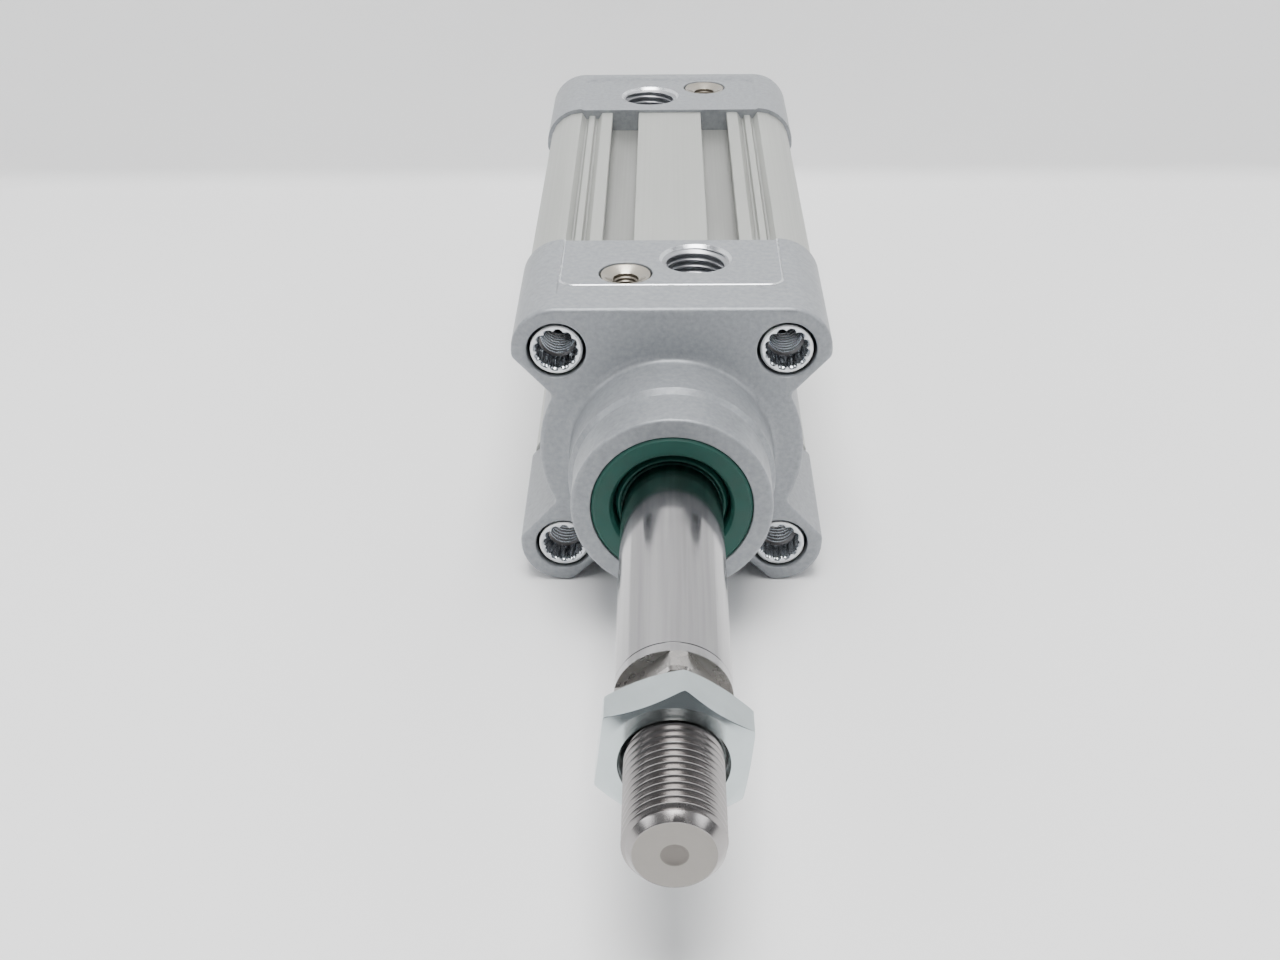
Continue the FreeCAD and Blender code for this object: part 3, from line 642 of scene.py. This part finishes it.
def pilot_profile(depth, chamber_depth):
    """From the chamber's closed end, out of its mouth and back along the pilot to its root."""
    mouth = depth + PILOT - STOP_GAP
    inside = [(CHAMBER_R, depth - chamber_depth), (CHAMBER_R, mouth - 0.5), (CHAMBER_R + 0.5, mouth)]
    return inside + [(24.0, mouth), (24.9, mouth - 0.9), (24.9, depth)]


def front_cover(materials):
    """Front cover with its long collar, the seat of the rod seal and the bore of the bearing."""
    base, tip, seat = COLLAR_BASE_R, -COLLAR, -14.9
    foot = [(base + 2.0, 0.0), (base + 0.95, -0.14), (base + 0.4, -0.45), (base + 0.08, -1.0)]
    step = [(base, -1.8), (base, -COLLAR_BASE_LENGTH, 0.3), (COLLAR_R, -COLLAR_BASE_LENGTH - 1.0, 0.3)]
    step += [(COLLAR_R, tip, 0.7), (16.1, tip, 0.25), (16.1, seat)]
    bore = [(11.6, seat), (11.6, 6.0), (10.4, 6.0)]
    chamber_depth = FRONT_DEPTH - 10.0
    outer = foot + soft_corners(step, 4) + bore
    inner = [bore[-1], (10.4, 10.0)] + pilot_profile(FRONT_DEPTH, chamber_depth)
    shell = cover(FRONT_DEPTH, outer, inner, FRONT_PORT_INSET, FRONT_THROTTLE_INSET, PAD_START, 1)
    shell.finish("front_cover_casting", "cylinder", ["front_cover"], "cover_paint", materials)


def rear_cover(materials):
    """Rear cover: the same casting turned round, with a short centring spigot."""
    foot = [(COLLAR_R + 0.6, 0.0), (COLLAR_R + 0.18, -0.18), (COLLAR_R, -0.6)]
    rim = [(COLLAR_R, -1.0), (COLLAR_R, -SPIGOT, 0.6), (15.0, -SPIGOT, 0.4), (15.0, 1.0, 0.8), (2.0, 1.0)]
    outer = foot + soft_corners(rim, 4)
    inner = [(2.0, REAR_DEPTH - 23.0)] + pilot_profile(REAR_DEPTH, 23.0)
    shell = cover(REAR_DEPTH, outer, inner, REAR_PORT_INSET, REAR_THROTTLE_INSET, REAR_PAD_START, 0)
    shell.move(REAR_PLACE)
    shell.finish("rear_cover_casting", "cylinder", ["rear_cover"], "cover_paint", materials)


REAR_PLACE = Matrix.Translation((0, BODY_LENGTH, 0)) @ Matrix.Rotation(math.pi, 4, "Z")


# ---------- barrel ----------
def barrel(materials):
    """Extrusion with the bore and the screws' passages. The second material, a darker anodising, is painted
    shade in the channels.
    """
    shell = Shell()
    outline = barrel_outline()
    front, back = shell.section(outline, BARREL_LOW.y), shell.section(outline, BARREL_HIGH.y)
    shell.skin(front, back)
    holes = [(25.0, (0.0, 0.0))] + [(3.0, (x, z)) for x in (-BOLT, BOLT) for z in (-BOLT, BOLT)]
    near, far = [], []
    for radius, centre in holes:
        rings = shell.turned([(radius, BARREL_LOW.y), (radius, BARREL_HIGH.y)], centre)
        near.append(rings[0])
        far.append(rings[1])
    shell.fill(front, *near)
    shell.fill(back, *far)
    # faces sunk in the slots and grooves get the darker anodising: painted shade
    for face in shell.mesh.faces:
        spot = face.calc_center_median()
        sunk = BARREL_HALF - 6 < abs(spot.z) < BARREL_HALF - 1.2
        if sunk and abs(spot.x) < 23.5 and len(face.verts) == 4:
            face.material_index = 1
    shell.finish("barrel_extrusion", "cylinder", ["barrel_profile"], "barrel_anodised", materials)


# ---------- cover screws ----------
def drive_radius(turn):
    """Twelve rounded lobes that meet in cusps."""
    def radius(angle):
        return 3.62 + 0.62 * abs(math.cos(6 * (angle - turn))) ** 0.6
    return radius


def cover_screw(name, centre, turn, node, place, steel):
    """Screw with a 12-point drive and an internal M8 thread in its long head.

    Steel is the materials of its outside, its bore, and the painted shade on the flanks of its thread."""
    angles = [2 * math.pi * k / 120 for k in range(120)]
    top = SCREW_SINK
    lobes = drive_radius(turn)
    shell = Shell()
    shank = top + SCREW_HEAD_LENGTH
    outside = [(5.0, top), (5.3, top + 0.1), (SCREW_R, top + 0.4), (SCREW_R, shank)]
    outside += [(2.95, shank), (2.95, top + SCREW_LENGTH - 0.5), (2.4, top + SCREW_LENGTH)]
    outer = shell.turned(outside, centre, angles)
    shell.fill(outer[-1])
    shell.tint(0)
    mouth = [shell.ring(4.72, top, centre, angles)]
    mouth.append(shell.ring(lambda a: lobes(a) + 0.28, top + 0.12, centre, angles))
    mouth.append(shell.ring(lobes, top + 0.5, centre, angles))
    mouth.append(shell.ring(lobes, top + DRIVE_DEPTH - 0.35, centre, angles))
    mouth.append(shell.ring(SCREW_THREAD_R, top + DRIVE_DEPTH, centre, angles))
    shell.chain([outer[0]] + mouth)
    start, end = top + DRIVE_DEPTH, top + SCREW_THREAD_END
    crest, root = SCREW_THREAD_MINOR_R, SCREW_THREAD_R
    limit = female_limit(start, end, root, crest, root)
    rows = thread_rows(crest, root, SCREW_THREAD_PITCH, start, end, limit, angles)
    shell.grid([[(centre[0] + x, along, centre[1] + z) for x, along, z in row] for row in rows])
    tail = shell.turned([(crest, end), (crest, end + 2.0)], centre, angles)
    shell.cone(tail[-1], (centre[0], end + 3.6, centre[1]))
    shell.tint(1)
    # the thread's flanks and roots get a darker steel: painted shade, leaving bright crest lines
    shell.paint_thread_shade(centre, crest + 0.14, start, 2)
    shell.move(place)
    shell.finish(name, "cylinder", [node], "screw_steel", steel)


def cover_screws(steel):
    chance = random.Random(4)
    for end, place in (("front", Matrix.Identity(4)), ("rear", REAR_PLACE)):
        spots = [(x, z) for x in (-BOLT, BOLT) for z in (BOLT, -BOLT)]
        for number, centre in enumerate(spots, 1):
            turn = chance.uniform(0, math.pi / 6)
            name = f"{end}_cover_screw_{number}"
            cover_screw(name, centre, turn, f"{end}_cover_screws", place, steel)


# ---------- cushion screws ----------
def throttle_screw(end, centre, materials):
    """Cushion screw: dished head with a stepped socket, on the body that its joint turns."""
    low, high = box_mm(f"{end}_cushion_screw")
    top, head_r = high.z, (high.x - low.x) / 2
    socket = [(1.5, top - 3.6), (1.9, top - 3.2), (1.9, top - 2.6), (2.2, top - 2.4), (2.2, top - 1.9)]
    socket += [(2.6, top - 1.7), (2.7, top - 1.1)]
    outside = [socket[-1], (2.95, top - 0.95), (4.75, top - 0.06), (4.95, top), (head_r - 0.15, top)]
    outside += [(head_r, top - 0.15), (head_r, top - 4.3), (4.0, top - 4.3), (4.0, low.z + 1.7)]
    outside += [(1.4, low.z + 1.7), (0.6, low.z)]
    shell = Shell()
    # the socket's walls and floor get a much darker nickel: painted shade inside the recess
    inner = shell.turned_upright(socket, centre)
    shell.fill(inner[0])
    shell.tint(1)
    shell.fill(shell.turned_upright(outside, centre)[-1])
    shell.tint(0)
    body = f"{end}_throttle"
    shell.finish(f"{end}_throttle_screw", body, [f"{end}_cushion_screw"], "throttle_nickel", materials)


# ---------- rod ----------
def rod_angles():
    """Angles round the rod, with points where the wrench flats meet the round strips."""
    half_flat = math.acos(ROD_FLAT / ROD_R)
    half_strip = math.pi / 4 - half_flat
    angles = []
    for quarter in range(4):
        middle = ROD_TURN + quarter * math.pi / 2
        angles += [middle - half_strip + 2 * half_strip * k / 6 for k in range(6)]
        angles += [middle + half_strip + 2 * half_flat * k / 22 for k in range(22)]
    return angles


def flat_radius(angle):
    away = (angle - ROD_TURN) % (math.pi / 2) - math.pi / 4
    return min(ROD_R, ROD_FLAT / math.cos(away))


def rod(materials):
    """Chromed rod: wrench flats, rolled M16x1.5 thread, chamfered end with a centre mark."""
    angles = rod_angles()
    tip, shoulder = ROD_LOW.y, ROD_LOW.y + ROD_THREAD_LENGTH
    flats_end = shoulder + ROD_FLAT_LENGTH
    face_r, blank_r, undercut_r = 6.55, 7.3, 6.95
    thread_start, thread_end = tip + 1.05, shoulder - 1.8
    shell = Shell()
    mark = [(0.9, tip + 0.3), (1.5, tip + 0.24), (1.85, tip + 0.1), (2.15, tip)]
    end = [(face_r - 0.2, tip), (face_r, tip + 0.08), (blank_r, thread_start)]
    rings = shell.turned(mark, (0, 0), angles)
    shell.fill(rings[0])
    shell.tint(4)
    shell.turned([mark[-1], end[0]], (0, 0), angles)
    shell.tint(2)
    shell.turned(end, (0, 0), angles)
    shell.tint(1)

    def limit(along):
        rise = blank_r + (along - thread_start) * 0.75
        fall = undercut_r + (thread_end - along) * 1.2
        low = max(ROD_THREAD_MINOR_R, blank_r - (along - thread_start) * 0.4)
        return min(low, fall), min(rise, fall)

    crest, root = ROD_THREAD_R, ROD_THREAD_MINOR_R
    shell.grid(thread_rows(crest, root, ROD_PITCH, thread_start, thread_end, limit, angles))
    neck = [(undercut_r, thread_end), (undercut_r, shoulder - 0.3), (undercut_r + 0.3, shoulder)]
    rings = shell.turned(neck, (0, 0), angles)
    collar = [shell.ring(lambda a: flat_radius(a) - 0.5, shoulder, (0, 0), angles)]
    collar.append(shell.ring(flat_radius, shoulder + 0.5, (0, 0), angles))
    collar.append(shell.ring(flat_radius, flats_end, (0, 0), angles))
    shell.chain([rings[-1], collar[0]])
    shell.tint(1)
    shell.chain(collar + [shell.ring(ROD_R, flats_end, (0, 0), angles)])
    shell.tint(3)
    line = flats_end + 2.1
    bar = [(ROD_R, flats_end), (ROD_R, line), (ROD_R - 0.12, line + 0.08), (ROD_R - 0.12, line + 0.22)]
    bar += [(ROD_R, line + 0.3), (ROD_R, 22.5), (6.0, 22.5), (6.0, ROD_HIGH.y - 0.8), (5.2, ROD_HIGH.y)]
    body = shell.turned(bar, (0, 0), angles)
    shell.fill(body[-1])
    shell.tint(0)
    shell.finish("piston_rod_bar", "rod", ["piston_rod"], "rod_chrome", materials)


# ---------- lock nut ----------
def lock_nut(zinc):
    """Thin hex nut, chamfered on both faces, with a countersunk bore."""
    across = 24.0
    face_r, mouth_r, bore_r = across / 2 * 0.95, 9.0, 8.02
    y0, y1 = NUT_LOW.y, NUT_HIGH.y
    angles = [NUT_TURN + 2 * math.pi * k / 120 for k in range(120)]

    def corner(angle):
        away = (angle - NUT_TURN) % (math.pi / 3) - math.pi / 6
        return min(across / 2 / math.cos(away), across / 2 / math.cos(math.pi / 6) - 0.12)

    def side(face_y, towards, shrink, drop):
        points = []
        for a in angles:
            r = corner(a) - shrink
            x, z = polar(r, a)
            slope = (corner(a) - face_r) * math.tan(math.radians(30))
            points.append((x, face_y + towards * (slope + drop), z))
        return points

    shell = Shell()
    front = [shell.ring(bore_r, y0 + 0.95, (0, 0), angles), shell.ring(mouth_r, y0, (0, 0), angles)]
    front.append(shell.ring(face_r - 0.1, y0, (0, 0), angles))
    front.append(shell.loop(side(y0, 1, 0.12, -0.05)))
    front.append(shell.loop(side(y0, 1, 0.0, 0.08)))
    back = [shell.loop(side(y1, -1, 0.0, 0.08)), shell.loop(side(y1, -1, 0.12, -0.05))]
    back.append(shell.ring(face_r - 0.1, y1, (0, 0), angles))
    back += [shell.ring(mouth_r, y1, (0, 0), angles), shell.ring(bore_r, y1 - 0.95, (0, 0), angles)]
    shell.chain(front + back + [front[0]])
    shell.finish("lock_nut_hex", "lock_nut", ["rod_lock_nut"], "nut_zinc", [zinc], sharp=24.0)


# ---------- rod seal ----------
def rod_seal(green):
    """Green seal in the collar: flat outer face, a deep gap, and the lip that wipes the rod."""
    y0, y1 = SEAL_LOW.y, SEAL_HIGH.y
    profile = [(16.0, y1), (16.0, y0 + 0.5, 0.2), (15.4, y0, 0.2), (12.3, y0, 0.35), (11.7, y0 + 0.9, 0.3)]
    profile += [(11.5, y0 + 4.4, 0.4), (10.9, y0 + 4.4, 0.3), (11.0, y0 + 2.2, 0.3), (10.5, y0 + 1.1, 0.25)]
    profile += [(10.04, y0 + 1.5, 0.1), (10.04, y1)]
    shell = Shell()
    rings = shell.turned(soft_corners(profile, 4))
    shell.skin(rings[-1], rings[0])
    shell.finish("rod_wiper", "cylinder", ["rod_wiper_seal"], "wiper_green", [green])


# ---------- parts that keep their CAD shape ----------
def paint_cad_nodes(by_slot):
    for part in frame["record"]["subparts"]:
        node = frame["nodes"][part["node"]]
        if node.hide_render:
            continue
        node.data.materials.clear()
        node.data.materials.append(by_slot[part["material_slot"]])


# ---------- camera ----------
CAMERA_AT = Vector((-1.19, -297.06, 170.1)) * MM
CAMERA_YAW = math.radians(-1.05)
CAMERA_PITCH = math.radians(30.80)
CAMERA_ROLL = math.radians(-0.65)
CAMERA_LENS = 46.15


def make_camera():
    forward = Vector((math.sin(CAMERA_YAW) * math.cos(CAMERA_PITCH),
                      math.cos(CAMERA_YAW) * math.cos(CAMERA_PITCH), -math.sin(CAMERA_PITCH)))
    level = Vector((math.cos(CAMERA_YAW), -math.sin(CAMERA_YAW), 0))
    up = level.cross(forward)
    right = level * math.cos(CAMERA_ROLL) + up * math.sin(CAMERA_ROLL)
    top = up * math.cos(CAMERA_ROLL) - level * math.sin(CAMERA_ROLL)
    data = bpy.data.cameras.new("camera")
    data.lens = CAMERA_LENS
    data.clip_start, data.clip_end = 0.01, 20
    camera = bpy.data.objects.new("camera", data)
    bpy.context.scene.collection.objects.link(camera)
    camera.matrix_world = Matrix.Translation(CAMERA_AT) @ Matrix((right, top, -forward)).transposed().to_4x4()
    bpy.context.scene.camera = camera


# ---------- stage ----------
def stage_material():
    material, nodes, links, shader, coords = new_material("stage_paper")
    cloud = noise(nodes, links, coords.outputs["Object"], 6, 3.0)
    base = ramp(nodes, links, cloud.outputs["Fac"], [(0.3, (0.885, 0.885, 0.885)), (0.7, (0.91, 0.91, 0.91))])
    links.new(base.outputs["Color"], shader.inputs["Base Color"])
    shader.inputs["Roughness"].default_value = 0.65
    return material


def make_stage():
    """Pale floor that meets a backdrop in a small bend."""
    mesh = bmesh.new()
    floor, far, bend, height = FLOOR_Z * MM, 0.240, 0.006, 0.9
    line = [(-3.0, floor), (far, floor)]
    for k in range(1, 13):
        a = math.pi / 2 * k / 12
        line.append((far + bend * math.sin(a), floor + bend * (1 - math.cos(a))))
    line.append((far + bend, floor + height))
    left = [mesh.verts.new((-3.0, y, z)) for y, z in line]
    right = [mesh.verts.new((3.0, y, z)) for y, z in line]
    for i in range(len(line) - 1):
        mesh.faces.new((left[i], right[i], right[i + 1], left[i + 1])).smooth = True
    data = bpy.data.meshes.new("floor")
    mesh.to_mesh(data)
    mesh.free()
    data.materials.append(stage_material())
    floor_piece = bpy.data.objects.new("floor", data)
    bpy.context.scene.collection.objects.link(floor_piece)


def area_light(name, place, target, size, power, colour=(1, 1, 1)):
    data = bpy.data.lights.new(name, "AREA")
    data.shape = "RECTANGLE"
    data.size, data.size_y = size
    data.energy = power
    data.color = colour
    lamp = bpy.data.objects.new(name, data)
    lamp.location = place
    lamp.rotation_euler = (Vector(target) - Vector(place)).to_track_quat("-Z", "Y").to_euler()
    bpy.context.scene.collection.objects.link(lamp)


def make_world():
    """Bright towards the backdrop, dimmer on the camera's side, as in a room with a light tent."""
    world = bpy.data.worlds.new("studio")
    world.use_nodes = True
    nodes, links = world.node_tree.nodes, world.node_tree.links
    coords = nodes.new("ShaderNodeTexCoord")
    parts = nodes.new("ShaderNodeSeparateXYZ")
    links.new(coords.outputs["Generated"], parts.inputs["Vector"])
    place = nodes.new("ShaderNodeMapRange")
    place.inputs["From Min"].default_value = -1.0
    place.inputs["From Max"].default_value = 1.0
    links.new(parts.outputs["Y"], place.inputs["Value"])
    stops = [(0.0, (0.34, 0.345, 0.36)), (0.30, (0.42, 0.43, 0.45)), (0.55, (0.66, 0.67, 0.70))]
    sky = ramp(nodes, links, place.outputs["Result"], stops + [(1.0, (0.98, 0.98, 1.0))])
    links.new(sky.outputs["Color"], nodes["Background"].inputs["Color"])
    nodes["Background"].inputs["Strength"].default_value = 0.55
    bpy.context.scene.world = world


def make_lights():
    make_world()
    middle = (0, 0.03, 0)
    area_light("top", (0.0, -0.06, 0.95), middle, (0.45, 1.0), 18.0, (1.0, 0.995, 0.99))
    for side in (-1, 1):
        area_light("side", (side * 1.1, -0.35, 0.7), middle, (0.8, 0.5), 4.5, (0.97, 0.985, 1.0))


# ---------- the scene ----------
def main():
    paint = cast_paint()
    alloy = anodised("anodised", (0.43, 0.44, 0.415), (0.475, 0.485, 0.46))
    # darker anodising painted as shade on the channels' floors and walls
    channel_shade = anodised("anodised_channel_painted_shade", (0.30, 0.305, 0.29), (0.38, 0.385, 0.37))
    machined = metal("machined_alloy", (0.80, 0.82, 0.85), 0.22, 0.3)
    # bare alloy darkened as painted shade inside the ports
    port_thread_shade = metal("tapped_alloy_painted_shade", (0.42, 0.43, 0.45), 0.3, 0.4)
    chrome = metal("hard_chrome", (0.37, 0.365, 0.37), 0.1, 0.18, streaks=0.2)
    thread_steel = metal("thread_steel", (0.34, 0.325, 0.32), 0.2, 0.28)
    end_steel = metal("sawn_steel", (0.32, 0.305, 0.285), 0.42, 0.54, 0.15)
    mark_steel = metal("mark_steel", (0.22, 0.205, 0.19), 0.5, 0.6, 0.2)
    flat_steel = metal("milled_steel", (0.40, 0.385, 0.37), 0.22, 0.34, 0.1)
    screw_zinc = metal("screw_zinc", (0.72, 0.73, 0.73), 0.28, 0.42)
    screw_bore = metal("screw_bore", (0.66, 0.69, 0.72), 0.16, 0.24)
    # darker steel painted as shade on the flanks and roots of the cover screws' internal thread
    screw_thread_painted_shade = metal("screw_thread_painted_shade", (0.27, 0.255, 0.25), 0.24, 0.34)
    zinc = metal("bright_zinc", (0.55, 0.615, 0.625), 0.13, 0.24)
    nickel = metal("nickel", (0.43, 0.40, 0.345), 0.16, 0.26)
    # dark nickel painted as shade inside the cushion screws' sockets
    socket = metal("nickel_socket_painted_shade", (0.20, 0.18, 0.15), 0.3, 0.4)
    green = moulded("green_polyurethane", (0.003, 0.066, 0.049), 0.5, 0.00004, 0.0)
    black = moulded("black_nitrile", (0.012, 0.012, 0.012), 0.45, 0.00004)
    by_slot = {
        "cover_paint": paint,
        "barrel_anodised": alloy,
        "screw_steel": screw_zinc,
        "wiper_green": green,
        "rod_chrome": chrome,
        "nut_zinc": zinc,
        "throttle_nickel": nickel,
        "black_nitrile": black,
        "bearing_bronze": metal("sintered_bronze", (0.50, 0.33, 0.16), 0.35, 0.5, 0.1),
        "piston_aluminium": metal("turned_aluminium", (0.70, 0.70, 0.69), 0.25, 0.4, 0.15),
        "magnet_plastoferrite": moulded("plastoferrite", (0.03, 0.03, 0.03), 0.6, 0.00006),
        "guide_strip": moulded("guide_strip", (0.70, 0.66, 0.55), 0.5, 0.00004),
        "nut_steel": metal("plain_steel", (0.38, 0.38, 0.37), 0.3, 0.45, 0.1),
    }
    front_cover([paint, machined, port_thread_shade])
    rear_cover([paint, machined, port_thread_shade])
    barrel([alloy, channel_shade])
    cover_screws([screw_zinc, screw_bore, screw_thread_painted_shade])
    throttle_screw("front", (-THROTTLE_X, FRONT_THROTTLE_INSET), [nickel, socket])
    throttle_screw("rear", (THROTTLE_X, BODY_LENGTH - REAR_THROTTLE_INSET), [nickel, socket])
    rod([chrome, thread_steel, end_steel, flat_steel, mark_steel])
    lock_nut(zinc)
    rod_seal(green)
    paint_cad_nodes(by_slot)
    make_camera()
    make_stage()
    make_lights()


main()
